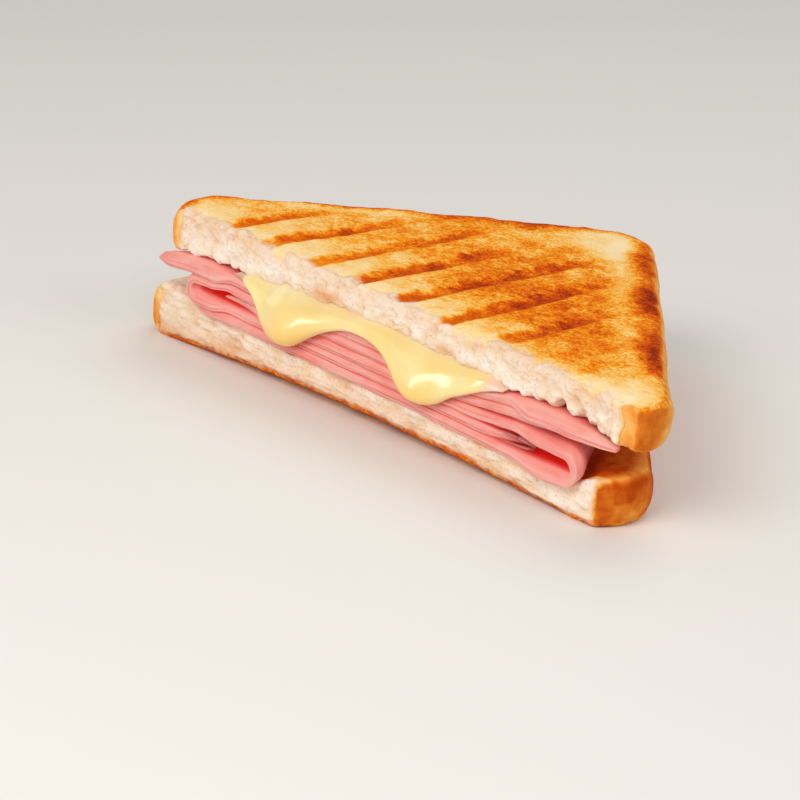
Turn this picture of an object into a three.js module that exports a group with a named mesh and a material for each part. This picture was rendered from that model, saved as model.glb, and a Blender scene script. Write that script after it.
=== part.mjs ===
// Half of a toasted ham and cheese sandwich, cut corner to corner and lying on its lower slice.
// Millimetres. x runs along the cut, depth goes back from the cut face to the whole corner, z is up.
// The origin is on the flat underside of the lower slice, below the middle of the half.
import * as THREE from "three";

// ---- Driving dimensions ----
const SLICE_SIDE = 114; // side of the square slice before the cut
const DIAGONAL = SLICE_SIDE * Math.SQRT2;
const CUT_Y = -DIAGONAL / 6; // the cut face stands this far in front of the origin
const TIP_RADIUS = 12; // rounding of the two slice corners that the knife went through
const CORNER_RADIUS = 9; // rounding of the corner that stayed whole
const SIDE_BOW = 2.4; // the left side of each slice bows out by this much
// How far the knife ran beyond each slice's diagonal at the left and right tip, and how far the slice slid
// along the cut.
const UPPER = { left: 8.4, right: 3.8, shift: -1.4 };
const LOWER = { left: 8.5, right: 7.5, shift: -7.8 };

const TOP_MIDDLE = 30; // height of the toasted top at the middle of the cut
const TOP_FALL = 0.0297; // the top falls this much for each millimetre from the left tip to the right
const TOP_RISE = 0.013; // and rises this much for each millimetre from the cut to the corner
const RIM_REACH = 4.6; // how far in from the edge the crust starts to round over
const RIM_POWER = 2.7; // superellipse power of the crust's rounding
const ARCH_HEIGHT = 2.6; // the lower slice arches off its rest along the cut by this much
const ARCH_MIDDLE_X = -8;
const ARCH_HALF_LENGTH = 66;
const ARCH_DEPTH = 20; // the arch is gone at this depth, and the underside is flat from there on

const MARK_PITCH = 14.5; // grill bars, square to the cut
const MARK_FIRST_X = 3;
const MARK_HALF_WIDTH = 2.6;
const MARK_DEPTH = 0.7;
const MARK_END_DEPTH = 46; // the bars' marks fade out towards the corner

const HAM_THICK = 2.1;
const HAM_PITCH = 2.3; // from one ham layer to the next where they lie flat
const HAM_PROUD = 1.3; // the ham stands this far out of the cut face
const HAM_END_DEPTH = 66; // the ham stops short of the whole corner
const GAP = 0.3; // air between neighbouring pieces

const CHEESE_START_X = -48; // the melted cheese shows along this stretch of the cut
const CHEESE_END_X = 38;
const CHEESE_END_DEPTH = 58;
const LIP_DROP = 2.6; // the cheese hangs this far below the upper slice between its drips
const DRIPS = [
  { x: -31.5, drop: 9, left: 8.5, right: 12.5, bulge: 2.6 },
  { x: 15, drop: 8.7, left: 10, right: 12.5, bulge: 2.4 },
];

// Heights along the cut, as [x, z]: the top of the lower slice and the underside of the upper slice.
const FLOOR = [[-84, 11.4], [-76, 12.2], [-69, 11.5], [-61, 10.1], [-20, 8.7], [0, 8.4], [20, 7.7],
  [40, 6.9], [54, 6.8], [59, 7.5], [64, 9.7], [74, 10.4]];
const CEILING = [[-84, 22.3], [-60, 22.4], [-48, 22.4], [-36, 22.9], [4, 22.9], [20, 22.2],
  [38, 21.4], [55, 21.1], [60, 20.3], [66, 18.9], [74, 18.1], [84, 18]];
const CORNER_FLOOR = 11.2; // the same two heights at the whole corner, where the slices were pressed closer
const CORNER_CEILING = 19.2;

// ---- Curves and fields ----
const mix = (a, b, t) => a + (b - a) * t;
const smooth = (t) => {
  const c = THREE.MathUtils.clamp(t, 0, 1);
  return c * c * (3 - 2 * c);
};
const steps = (count, from, to) => Array.from({ length: count + 1 }, (_, i) => mix(from, to, i / count));
// A gentle, repeatable unevenness between -1 and 1.
const uneven = (a, b) =>
  (Math.sin(1.31 * a + 0.7 * b) + Math.sin(0.83 * b - 1.93 * a + 1) + Math.sin(2.7 * a + 2.3 * b + 2)) / 3;

// A cubic through [x, z] stations, with each tangent taken from the two neighbours.
function through(stations) {
  const slope = (i) => {
    const a = stations[Math.max(i - 1, 0)];
    const b = stations[Math.min(i + 1, stations.length - 1)];
    return (b[1] - a[1]) / (b[0] - a[0]);
  };
  return (x) => {
    const c = THREE.MathUtils.clamp(x, stations[0][0], stations.at(-1)[0]);
    const i = stations.findLastIndex((s, k) => k === 0 || (s[0] <= c && k + 1 < stations.length));
    const [x0, z0] = stations[i];
    const [x1, z1] = stations[i + 1];
    const width = x1 - x0;
    const t = (c - x0) / width;
    const start = slope(i) * width * (t ** 3 - 2 * t * t + t);
    const end = slope(i + 1) * width * (t ** 3 - t * t);
    return mix(z0, z1, smooth(t)) + start + end;
  };
}

const floorAtCut = through(FLOOR);
const ceilingAtCut = through(CEILING);
// The inner faces of the bread narrow with the triangle and ease to one height at the whole corner.
const SPREAD_DEPTH = 90;
const cornerShare = (depth) => smooth((depth - 18) / 55);
const spread = (x, depth) => x / (1 - Math.max(depth, 0) / SPREAD_DEPTH);
const floorZ = (x, depth) => mix(floorAtCut(spread(x, depth)), CORNER_FLOOR, cornerShare(depth));
const ceilingZ = (x, depth) => mix(ceilingAtCut(spread(x, depth)), CORNER_CEILING, cornerShare(depth));

function archZ(x, depth) {
  const along = Math.max(0, 1 - ((x - ARCH_MIDDLE_X) / ARCH_HALF_LENGTH) ** 2);
  return ARCH_HEIGHT * along * Math.max(0, 1 - depth / ARCH_DEPTH) ** 2;
}

// Depth of the groove that the nearest grill bar pressed into the bread.
function grillMark(x, depth) {
  const fromBar = x - MARK_FIRST_X - MARK_PITCH * Math.round((x - MARK_FIRST_X) / MARK_PITCH);
  const across = Math.max(0, 1 - (fromBar / MARK_HALF_WIDTH) ** 2);
  return MARK_DEPTH * across * smooth((MARK_END_DEPTH - depth) / 14);
}
const toastedTopZ = (x, depth) =>
  TOP_MIDDLE - TOP_FALL * x + TOP_RISE * depth - grillMark(x, depth) + 0.35 * uneven(x / 13, depth / 11);

// ---- Solids ----
const place = (x, depth, z) => new THREE.Vector3(x, CUT_Y + depth, z);

// Joins matching closed sections into one solid. Each end is closed by zipping its ring shut from its first
// and last points inwards.
function loft(name, sections, material) {
  const ring = sections[0].length;
  const index = [];
  for (let i = 0; i + 1 < sections.length; i++)
    for (let j = 0; j < ring; j++) {
      const a = i * ring + j;
      const b = i * ring + ((j + 1) % ring);
      index.push(a, b, b + ring, a, b + ring, a + ring);
    }
  const last = (sections.length - 1) * ring;
  const zip = (a, b, c) => index.push(a, c, b, last + a, last + b, last + c);
  let low = 0;
  let high = ring - 1;
  while (high - low > 1) {
    zip(low, low + 1, high);
    low++;
    if (high - low > 1) {
      zip(low, high - 1, high);
      high--;
    }
  }

  const points = sections.flat();
  let volume = 0;
  for (let k = 0; k < index.length; k += 3) {
    const [a, b, c] = index.slice(k, k + 3).map((i) => points[i]);
    volume += a.dot(b.clone().cross(c));
  }
  if (volume < 0) index.reverse();
  const geometry = new THREE.BufferGeometry().setFromPoints(points).setIndex(index);
  geometry.computeVertexNormals();
  const mesh = new THREE.Mesh(geometry, material);
  mesh.name = name;
  return mesh;
}

// Where a slice starts and ends at x: its cut face or the front of a rounded tip, and its crust.
const TIP_CENTRE = DIAGONAL / 2 - TIP_RADIUS * Math.SQRT2;
function sliceDepths(x, { left, right, shift }) {
  const cornerX = shift + (right - left) / 2; // the two straight sides would meet here
  const cornerDepth = (DIAGONAL + left + right) / 2;
  const along = Math.abs(x - cornerX);
  const side = Math.sign(x - cornerX);
  const tipDepth = side < 0 ? left : right; // the centre of this tip's rounding
  const beyondCentre = Math.max(0, side * (x - shift) - TIP_CENTRE);
  const aroundTip = Math.sqrt(Math.max(0, TIP_RADIUS ** 2 - beyondCentre ** 2));
  const front = Math.max(0, tipDepth - aroundTip);
  let back = cornerDepth - along;
  if (beyondCentre > TIP_RADIUS / Math.SQRT2) back = tipDepth + aroundTip;
  else if (along < CORNER_RADIUS / Math.SQRT2)
    back = cornerDepth - CORNER_RADIUS * Math.SQRT2 + Math.sqrt(CORNER_RADIUS ** 2 - along ** 2);
  const toLeftTip = TIP_CENTRE + TIP_RADIUS + cornerX - shift;
  const bow = side < 0 ? SIDE_BOW * Math.sin((Math.PI * along) / toLeftTip) : 0;
  return [front, back + bow];
}

// A half slice: its section, from the cut face over the top, round the crust and back underneath, is carried
// along the cut.
function halfSlice(name, cut, top, bottom, material) {
  const TIP_SKIP = 0.12; // the end sections stop this short of the tips, so that they still have a width
  const COLUMNS = 62;
  const tip = TIP_CENTRE + TIP_RADIUS;
  const crag = (x, z) => 0.45 * uneven(x / 1.9, z / 1.3 + cut.right);
  const sections = steps(COLUMNS, -1, 1).map((u) => {
    // Columns are even along the cut and close up towards the tips, where the outline turns fast.
    const fromMiddle = (tip - TIP_SKIP) * mix(u, Math.sin((u * Math.PI) / 2), 0.8);
    const x = cut.shift + fromMiddle;
    const [front, crust] = sliceDepths(x, cut);
    const back = crust + 0.5 * uneven(x / 9, cut.right);
    const reach = Math.min(RIM_REACH * Math.SQRT2, 0.6 * (back - front));
    const inner = back - reach;
    // The crust also rounds over towards the tip itself, so the whole section gets lower there.
    const toTip = Math.min(1, (tip - Math.abs(fromMiddle)) / RIM_REACH);
    const lower = (1 - (1 - toTip) ** RIM_POWER) ** (1 / RIM_POWER);
    const at = (depth, share) => {
      const high = top(x, depth);
      const low = bottom(x, depth);
      return place(x, depth, (high + low) / 2 + (lower * share * (high - low)) / 2);
    };
    const face = steps(3, -1, 1).map((share) => at(front, share));
    for (const p of face) p.y += smooth((back - front) / 12) * crag(x, p.z);
    const over = steps(6, front, inner).slice(1, -1).map((depth) => at(depth, 1));
    const round = steps(8, Math.PI / 2, -Math.PI / 2).map((a) => {
      const out = Math.max(0, Math.cos(a)) ** (2 / RIM_POWER);
      const up = Math.sign(Math.sin(a)) * Math.abs(Math.sin(a)) ** (2 / RIM_POWER);
      const p = at(inner, up);
      p.y += reach * out;
      return p;
    });
    const under = steps(4, inner, front).slice(1, -1).map((depth) => at(depth, -1));
    return [...face, ...over, ...round, ...under];
  });
  return loft(name, sections, material);
}

// Where the filling lies at a depth: x closes in with the triangle, and each height keeps its share of the
// gap between the slices.
const FILLING_DEPTH = 80.5;
function fillingPoint(x, z, depth) {
  const at = x * (1 - Math.max(depth, 0) / FILLING_DEPTH);
  const share = (z - floorAtCut(x)) / (ceilingAtCut(x) - floorAtCut(x));
  return place(at, depth, mix(floorZ(at, depth), ceilingZ(at, depth), share));
}
// Height of the centre of the ham layer that has this many layers below it.
const layerZ = (x, below) => floorAtCut(x) + GAP + (below + 0.5) * HAM_PITCH;

// A ham slice: its centre line as [x, z] points at the cut is given a thickness and carried back.
function hamSlice(name, line, material) {
  const outline = (side) =>
    line.map(([x, z], i) => {
      const [xa, za] = line[Math.max(i - 1, 0)];
      const [xb, zb] = line[Math.min(i + 1, line.length - 1)];
      const along = new THREE.Vector2(xb - xa, zb - za).setLength((side * HAM_THICK) / 2);
      return [x - along.y, z + along.x];
    });
  const profile = [...outline(1), ...outline(-1).reverse()];
  const depths = [-HAM_PROUD, ...steps(5, 0, HAM_END_DEPTH)];
  const sections = depths.map((depth) => profile.map(([x, z]) => fillingPoint(x, z, depth)));
  return loft(name, sections, material);
}

// The centre line of a slice folded over once: the upper leg out to the fold, half a turn, and the lower leg
// back. side is -1 for a fold at the left tip and 1 at the right.
function foldedLine({ side, foldX, upperEnd, lowerEnd, upper, lower }) {
  const middle = (upper(foldX) + lower(foldX)) / 2;
  const radius = (upper(foldX) - lower(foldX)) / 2;
  const turn = steps(8, Math.PI / 2, -Math.PI / 2).slice(1, -1);
  return [
    ...steps(15, upperEnd, foldX).map((x) => [x, upper(x)]),
    ...turn.map((a) => [foldX + side * radius * Math.cos(a), middle + radius * Math.sin(a)]),
    ...steps(15, foldX, lowerEnd).map((x) => [x, lower(x)]),
  ];
}

// The flat slice lies over the two folded ones and runs out to both tips.
const flatHamZ = through([[-76, 19.5], [-70, 20.9], [-58, 21.1], [-48, 20.3], [-34, layerZ(-34, 4)],
  [0, layerZ(0, 4)], [24, layerZ(24, 4)], [40, 19.4], [52, 19.7], [57, 19.2], [63, 17.9], [69, 17]]);
const flatHam = steps(26, -76, 69).map((x) => [x, flatHamZ(x)]);

const leftFold = foldedLine({
  side: -1,
  foldX: -61.4,
  upperEnd: 58,
  lowerEnd: 46,
  upper: through([[-62, 18.8], [-54, 18.7], [-46, 17.7], [-34, layerZ(-34, 3)], [0, layerZ(0, 3)],
    [24, layerZ(24, 3)], [40, 17.1], [51, 17.2], [58, 16.5]]),
  lower: (x) => mix(layerZ(x, 1), 11.1, smooth((x - 30) / 16)),
});
const rightFold = foldedLine({
  side: 1,
  foldX: 56.4,
  upperEnd: -38,
  lowerEnd: -61,
  upper: (x) => mix(layerZ(x, 2), 14.2, smooth((x - 22) / 22)),
  lower: (x) => mix(layerZ(x, 0), 8.3, smooth((x - 44) / 10)),
});

// How far the cheese hangs below the upper slice, and how far it swells out, at each place along the cut.
function cheeseFall(x) {
  let drop = LIP_DROP;
  let bulge = 1.5;
  for (const d of DRIPS) {
    const away = Math.abs(x - d.x) / (x < d.x ? d.left : d.right);
    const share = Math.exp(-(away ** 2.4));
    drop += d.drop * share;
    bulge += d.bulge * share;
  }
  const ends = smooth((x - CHEESE_START_X) / 6) * smooth((CHEESE_END_X - x) / 9);
  return { drop: mix(1.2, drop, ends), bulge: mix(0.5, bulge, ends) };
}

// The cheese: a sheet between ham and bread that runs out of the cut and hangs down over the ham's edges.
function meltedCheese(name, material) {
  const back = -HAM_PROUD - GAP; // the hanging part's rear face
  const sections = steps(48, CHEESE_START_X, CHEESE_END_X).map((x) => {
    const high = ceilingAtCut(x) - GAP;
    const low = Math.min(flatHamZ(x) + HAM_THICK / 2 + GAP, high - 0.6);
    const { drop, bulge } = cheeseFall(x);
    const lip = high - drop;
    const hanging = steps(7, 0, 1).map((t) => {
      // From the bread's edge down the swelling front to the lip, and round under it.
      const swell = bulge * Math.sin(Math.PI * mix(0.16, 0.93, t)) ** 0.8;
      return place(x, back - swell, mix(high + 0.2, lip, 1 - (1 - t) ** 1.35));
    });
    const inwards = steps(4, 0, CHEESE_END_DEPTH);
    return [
      ...inwards.toReversed().map((depth) => fillingPoint(x, high, depth)),
      ...hanging,
      place(x, back, Math.min(low, lip + 0.5 * drop)),
      place(x, back, low),
      ...inwards.map((depth) => fillingPoint(x, low, depth)),
    ];
  });
  return loft(name, sections, material);
}

// ---- The sandwich half ----
const surface = (color, roughness) => new THREE.MeshStandardMaterial({ color, roughness, metalness: 0 });
const toast = surface(0xe3a45a, 0.85);
const ham = surface(0xe88f8c, 0.45);
const cheese = surface(0xf9d977, 0.3);

const sandwich = new THREE.Group();
sandwich.add(
  halfSlice("bread_lower", LOWER, floorZ, archZ, toast),
  halfSlice("bread_upper", UPPER, toastedTopZ, ceilingZ, toast),
  hamSlice("ham_flat", flatHam, ham),
  hamSlice("ham_fold_left", leftFold, ham),
  hamSlice("ham_fold_right", rightFold, ham),
  meltedCheese("cheese", cheese),
);

export default sandwich;
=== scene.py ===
"""Half of a toasted ham and cheese sandwich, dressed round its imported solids.

Shapes are worked out in millimetres, in the solids' own frame: x runs along the cut, depth goes back from the
cut face to the whole corner, and z is up. MM turns them into metres as they enter a mesh.
"""

from types import SimpleNamespace

import bpy
import numpy as np
from mathutils import Matrix, Vector


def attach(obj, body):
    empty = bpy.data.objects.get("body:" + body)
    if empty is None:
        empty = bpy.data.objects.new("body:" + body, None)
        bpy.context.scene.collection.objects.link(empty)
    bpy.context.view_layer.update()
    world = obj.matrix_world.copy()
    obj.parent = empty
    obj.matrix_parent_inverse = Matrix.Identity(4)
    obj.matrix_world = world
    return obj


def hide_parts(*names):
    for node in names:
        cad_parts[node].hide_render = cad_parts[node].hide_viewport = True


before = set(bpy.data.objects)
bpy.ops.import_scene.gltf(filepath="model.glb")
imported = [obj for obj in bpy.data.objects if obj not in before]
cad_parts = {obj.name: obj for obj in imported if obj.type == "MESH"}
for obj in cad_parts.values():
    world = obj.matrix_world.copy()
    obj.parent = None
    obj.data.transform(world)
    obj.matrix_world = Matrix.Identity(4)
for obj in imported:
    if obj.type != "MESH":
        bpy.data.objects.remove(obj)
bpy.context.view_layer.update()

MM = 0.001

# ---- The sandwich's driving dimensions, as its solids have them ----
SLICE_SIDE = 114  # side of the square slice before the cut
DIAGONAL = SLICE_SIDE * np.sqrt(2)
CUT_Y = -DIAGONAL / 6  # the cut face stands this far in front of the origin
TIP_RADIUS = 12  # rounding of the two slice corners that the knife went through
TIP_CENTRE = DIAGONAL / 2 - TIP_RADIUS * np.sqrt(2)
CORNER_RADIUS = 9  # rounding of the corner that stayed whole
SIDE_BOW = 2.4  # the left side of each slice bows out by this much
BOW_SPAN = 75  # seen from above, the bow ends this far left of the whole corner
BULGE_X = -52  # the left side also swells here
BULGE_WIDE = 17

# A pair is for the left and the right tip. left, right: how far the knife ran beyond the slice's diagonal.
# shift: how far the slice slid along the cut. bulge: swell of the left side. crust, inner_crust: how wide
# the crust shows on the cut face, and on the side that faces the filling. head_reach, foot_reach: how far
# in the tip's top and foot are rounded. torn: how far the crumb breaks past the cut face's grilled edge.
# bare: how much further at the left tip.
UPPER = {"left": 8.4, "right": 3.8, "shift": -1.4, "bulge": 1.0, "crust": (2.4, 4.6), "inner_crust": (3, 5),
         "head_reach": (4.6, 1.7), "foot_reach": (1.5, 1.7), "torn": 1.8, "bare": 3.0}
# The lower slice's crust on the side facing the filling is wide at the right: partly baked crust and partly
# painted shade under the upper slice.
LOWER = {"left": 8.5, "right": 7.5, "shift": -7.8, "bulge": 0.0, "crust": (2.4, 1.0), "inner_crust": (4, 14),
         "head_reach": (4.2, 2.4), "foot_reach": (3.4, 2.4), "torn": 0.6, "bare": 0.0}

TOP_MIDDLE = 30  # height of the toasted top at the middle of the cut
TOP_FALL = 0.0297  # the top falls this much for each millimetre from the left tip to the right
TOP_RISE = 0.013  # and rises this much for each millimetre from the cut to the corner
RIM_REACH = 4.6  # how far in from the edge the crust starts to round over
RIM_POWER = 2.7  # superellipse power of the crust's rounding
ARCH_HEIGHT = 2.6  # the lower slice arches off its rest along the cut by this much
ARCH_MIDDLE_X = -8
ARCH_HALF_LENGTH = 66
ARCH_DEPTH = 20  # the arch is gone at this depth

MARK_PITCH = 14.5  # grill bars, nearly square to the cut
MARK_FIRST_X = 3
MARK_LEAN = 0.02  # how far each bar leans to the right for each millimetre back
MARK_FAN = 0.0014  # and how much less so for each millimetre to the right
MARK_HALF_WIDTH = 2.6
MARK_DEPTH = 0.6
MARK_START_EASE = 3
MARK_END_EASE = 16

HAM_THICK = 2.1
HAM_PITCH = 2.3  # from one ham layer to the next where they lie flat
HAM_PROUD = 1.3  # the ham stands this far out of the cut face
HAM_END_DEPTH = 66  # the ham stops short of the whole corner
HAM_DROOP = 0.2  # a cut edge sinks by this times the square of how far out it stands
HAM_BLUNT = 0.7  # how deep a cut edge's rounding is, in half thicknesses
GAP = 0.3  # air between neighbouring pieces
FILLING_DEPTH = 80.5  # the filling's sides would meet at this depth
SPREAD_DEPTH = 90  # and the lines of equal height on the bread's inner faces at this one
CHEESE_END_DEPTH = 58
CHEESE_SPILL = 1.3  # the cheese clings to the upper slice this far up its cut face
CHEESE_TUCK = 0.8  # and starts this far behind that face

# Heights along the cut, as [x, z]: the top of the lower slice and the underside of the upper slice.
FLOOR = [[-84, 11.4], [-76, 12.2], [-69, 11.5], [-61, 10.1], [-20, 8.7], [0, 8.4], [20, 7.7],
         [40, 6.9], [54, 6.8], [59, 7.5], [64, 9.7], [74, 10.4]]
CEILING = [[-84, 22.3], [-60, 22.4], [-48, 22.4], [-36, 22.9], [4, 22.9], [20, 22.2],
           [38, 21.4], [55, 21.1], [60, 20.3], [66, 18.9], [74, 18.1], [84, 18]]
CORNER_FLOOR = 11.2  # the same two heights at the whole corner, where the slices were pressed closer
CORNER_CEILING = 19.2
CORNER_STARTS = 18  # they start to ease to these at this depth
CORNER_EASE = 55


# ---- Curves ----
def mix(a, b, t):
    """a at t = 0, b at t = 1, and in proportion between."""
    return a + (b - a) * t


def smooth(t):
    """Eases from 0 to 1: 3t squared less 2t cubed, flat outside."""
    t = np.clip(t, 0, 1)
    return t * t * (3 - 2 * t)


def hump(t):
    """A bell: e to the minus t squared."""
    return np.exp(-t * t)


def uneven(a, b):
    """The mean of three sine waves across a and b, from -1 to 1."""
    return (np.sin(1.31 * a + 0.7 * b) + np.sin(0.83 * b - 1.93 * a + 1) + np.sin(2.7 * a + 2.3 * b + 2)) / 3


def through(stations):
    """A smooth curve through [x, z] stations: a cubic in each gap, its slopes taken from the neighbours."""
    sx, sz = np.array(stations, float).T
    last = len(sx) - 1
    before = np.maximum(np.arange(last + 1) - 1, 0)
    after = np.minimum(np.arange(last + 1) + 1, last)
    slope = (sz[after] - sz[before]) / (sx[after] - sx[before])

    def height(x):
        x = np.clip(x, sx[0], sx[-1])
        i = np.clip(np.searchsorted(sx, x, side="right") - 1, 0, last - 1)
        width = sx[i + 1] - sx[i]
        t = (x - sx[i]) / width
        start = slope[i] * width * (t**3 - 2 * t**2 + t)
        end = slope[i + 1] * width * (t**3 - t**2)
        return mix(sz[i], sz[i + 1], smooth(t)) + start + end

    return height


# ---- Noise, the same at every run: sizes in mm, and another pattern for each seed ----
# Large odd numbers that mix bits: for the three numbers of a cell, for the seed, and for a last stir.
CELL_MULTIPLIERS = np.array([374761393, 668265263, 2246822519], np.uint32)
SEED_MULTIPLIER = 3266489917
STIR_MULTIPLIER = np.uint32(1274126177)
WORD = 2**32


def scatter(cells, seed):
    """A number from 0 to 1 for each row of three whole numbers, whose bits are multiplied and mixed."""
    c = cells.astype(np.int64).astype(np.uint32) * CELL_MULTIPLIERS
    n = c[..., 0] + c[..., 1] + c[..., 2] + np.uint32((seed * 97 + 13) * SEED_MULTIPLIER % WORD)
    n = (n ^ (n >> np.uint32(13))) * STIR_MULTIPLIER
    n = n ^ (n >> np.uint32(16))
    return n.astype(float) / (WORD - 1)


def billow(points, size, seed):
    """Smooth noise from -1 to 1: scattered values on a lattice of this size, eased in between."""
    p = points / np.asarray(size, float)
    cell = np.floor(p)
    t = smooth(p - cell)
    total = 0
    for corner in np.ndindex(2, 2, 2):
        weight = np.prod(np.where(np.array(corner) == 1, t, 1 - t), axis=-1)
        total = total + weight * scatter(cell + np.array(corner), seed)
    return 2 * total - 1


def pores(points, size, seed):
    """Distance to the nearest of the points strewn one to a lattice cell, measured in cells."""
    p = points / np.asarray(size, float)
    cell = np.floor(p)
    nearest = np.full(p.shape[:-1], np.inf)
    for step in np.ndindex(3, 3, 3):
        home = cell + np.array(step) - 1
        spot = home + np.stack([scatter(home, seed + k) for k in range(3)], -1)
        nearest = np.minimum(nearest, np.linalg.norm(p - spot, axis=-1))
    return nearest


def line_noise(x, size, seed):
    """Smooth noise from -1 to 1 along a line: billow at (x, 0, 0)."""
    points = np.zeros(np.shape(x) + (3,))
    points[..., 0] = x
    return billow(points, size, seed)


# ---- Grids into meshes ----
END_SECTIONS = 5


def grid_normals(grid):
    """Unit normals of a grid whose second axis is closed: the cross product of its two directions, turned
    outwards by how they stand to each section's middle. The end sections have no say in that."""
    along = np.gradient(grid, axis=0)
    round_ = np.roll(grid, -1, axis=1) - np.roll(grid, 1, axis=1)
    normals = np.cross(along, round_)
    normals /= np.maximum(np.linalg.norm(normals, axis=-1, keepdims=True), 1e-9)
    centre = grid.mean(axis=1, keepdims=True)
    outward = np.sum((grid - centre) * normals, axis=-1)[END_SECTIONS:-END_SECTIONS].sum()
    return normals * np.sign(outward)


def lofted(node, grid, material, values):
    """A closed solid in place of a node, from a grid of sections by ring points in mm. Neighbours are
    joined by quads, and each end ring is zipped shut from its first and last points inwards. values holds
    the numbers of the mesh's attributes."""
    sections, ring, _ = grid.shape
    i, j = np.meshgrid(np.arange(sections - 1), np.arange(ring), indexing="ij")
    a = i * ring + j
    b = i * ring + (j + 1) % ring
    walls = np.stack([a, b, b + ring, a + ring], -1).reshape(-1, 4)
    low = np.arange(ring // 2 - 1)
    high = ring - 1 - low
    first = np.stack([low, high, high - 1, low + 1], -1)
    last = first[:, ::-1] + (sections - 1) * ring
    quads = np.concatenate([walls, first, last])
    points = grid.reshape(-1, 3)
    # The signed volume tells whether the quads already face outwards.
    p = points[quads]
    volume = np.einsum("ij,ij->i", p[:, 0], np.cross(p[:, 1], p[:, 2]) + np.cross(p[:, 2], p[:, 3])).sum()
    if volume < 0:
        quads = quads[:, ::-1]

    mesh = bpy.data.meshes.new(node + "_surface")
    mesh.vertices.add(len(points))
    mesh.vertices.foreach_set("co", (points * MM).astype(np.float32).ravel())
    mesh.loops.add(quads.size)
    mesh.loops.foreach_set("vertex_index", quads.astype(np.int32).ravel())
    mesh.polygons.add(len(quads))
    mesh.polygons.foreach_set("loop_start", np.arange(0, quads.size, 4, dtype=np.int32))
    mesh.polygons.foreach_set("use_smooth", np.ones(len(quads), bool))
    for key, field in values.items():
        attribute = mesh.attributes.new(key, "FLOAT", "POINT")
        attribute.data.foreach_set("value", np.broadcast_to(field, grid.shape[:2]).astype(np.float32).ravel())
    mesh.update(calc_edges=True)
    mesh.validate()
    mesh.materials.append(material)
    piece = bpy.data.objects.new(node + "_surface", mesh)
    bpy.context.scene.collection.objects.link(piece)
    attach(piece, "root")
    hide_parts(node)


# ---- Where bread and filling lie ----
floor_at_cut = through(FLOOR)
ceiling_at_cut = through(CEILING)


def corner_share(depth):
    """0 near the cut, eased to 1 towards the whole corner."""
    return smooth((depth - CORNER_STARTS) / CORNER_EASE)


def spread(x, depth):
    """The place along the cut that lies in front of x: the triangle's narrowing undone."""
    return x / (1 - np.maximum(depth, 0) / SPREAD_DEPTH)


def floor_z(x, depth):
    """Top of the lower slice: its height along the cut, eased to one height at the whole corner."""
    return mix(floor_at_cut(spread(x, depth)), CORNER_FLOOR, corner_share(depth))


def ceiling_z(x, depth):
    """Underside of the upper slice, in the same way."""
    return mix(ceiling_at_cut(spread(x, depth)), CORNER_CEILING, corner_share(depth))


def filling_point(x, z, depth):
    """Where (x, z) at the cut is at a depth: x closes in with the triangle in proportion, and each height
    keeps its share of the gap between the slices."""
    at = x * (1 - np.maximum(depth, 0) / FILLING_DEPTH)
    share = (z - floor_at_cut(x)) / (ceiling_at_cut(x) - floor_at_cut(x))
    z_there = mix(floor_z(at, depth), ceiling_z(at, depth), share)
    return np.stack(np.broadcast_arrays(at, CUT_Y + depth, z_there), -1)


def arch_z(x, depth):
    """Underside of the lower slice: a parabola along the cut, which another one fades out going back."""
    along = np.maximum(0, 1 - ((x - ARCH_MIDDLE_X) / ARCH_HALF_LENGTH) ** 2)
    return ARCH_HEIGHT * along * np.maximum(0, 1 - depth / ARCH_DEPTH) ** 2


# Each grill bar from left to right: the depths that its mark starts and ends at, and how dark it is.
BAR_STARTS = np.array([2, 0, -1, 0, -1, -1, -1, 2, 5, 5])
BAR_ENDS = np.array([10, 31, 42, 56, 50, 62, 54, 38, 28, 10])
BAR_STRENGTHS = np.array([0, 0.8, 1, 0.75, 1, 1, 1, 0.75, 0.3, 0])
BAR_FIRST = -5  # the leftmost bar's number, counted from the bar at MARK_FIRST_X


def bar_place(x, depth):
    """Distance across the nearest grill bar, below zero on its left, and how strongly that bar marked the
    bread there. The bars close in a little towards the back."""
    across = x - MARK_FIRST_X - depth * (MARK_LEAN - MARK_FAN * x)
    number = np.round(across / MARK_PITCH)
    index = np.clip(number - BAR_FIRST, 0, len(BAR_STARTS) - 1).astype(int)
    start, end = BAR_STARTS[index], BAR_ENDS[index]
    pressed = smooth((depth - start) / MARK_START_EASE) * smooth((end - depth) / MARK_END_EASE)
    return across - number * MARK_PITCH, pressed * BAR_STRENGTHS[index]


def groove(x, depth):
    """Depth of a bar's groove: a parabola across it, times the bar's strength."""
    across, strength = bar_place(x, depth)
    return MARK_DEPTH * np.maximum(0, 1 - (across / MARK_HALF_WIDTH) ** 2) * strength


# ---- Bread ----
COLUMNS = 520  # sections along the cut
TIP_CLOSING = 0.8  # how strongly they close up towards the tips
TIP_SKIP = 0.12  # the end sections stop this short of the tips, so that they still have a width
FACE, OVER, ROUND, UNDER = 42, 76, 36, 26  # ring points on the cut face, the top, the crust and the underside
CLOSING = 1.25  # power by which points close up towards the cut face
EDGE_ROUNDING = 0.8  # rounding of the cut face's two edges
INNER_SKIN = 2.4  # depth of the baked skin under the crust's rim
NO_SKIN, BAKED_SKIN = -30, 4  # the skin value that stands for open crumb, and for baked crust
LEAST_THICK = 0.07  # share of the thickness that is left at a tip's front


def whole_corner(cut):
    """x and depth at which a slice's two straight sides would meet."""
    return cut["shift"] + (cut["right"] - cut["left"]) / 2, (DIAGONAL + cut["left"] + cut["right"]) / 2


def side_bulge(x, cut):
    """Swell of a slice's left side: a bell along x."""
    return cut["bulge"] * hump((x - BULGE_X) / BULGE_WIDE)


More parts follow.
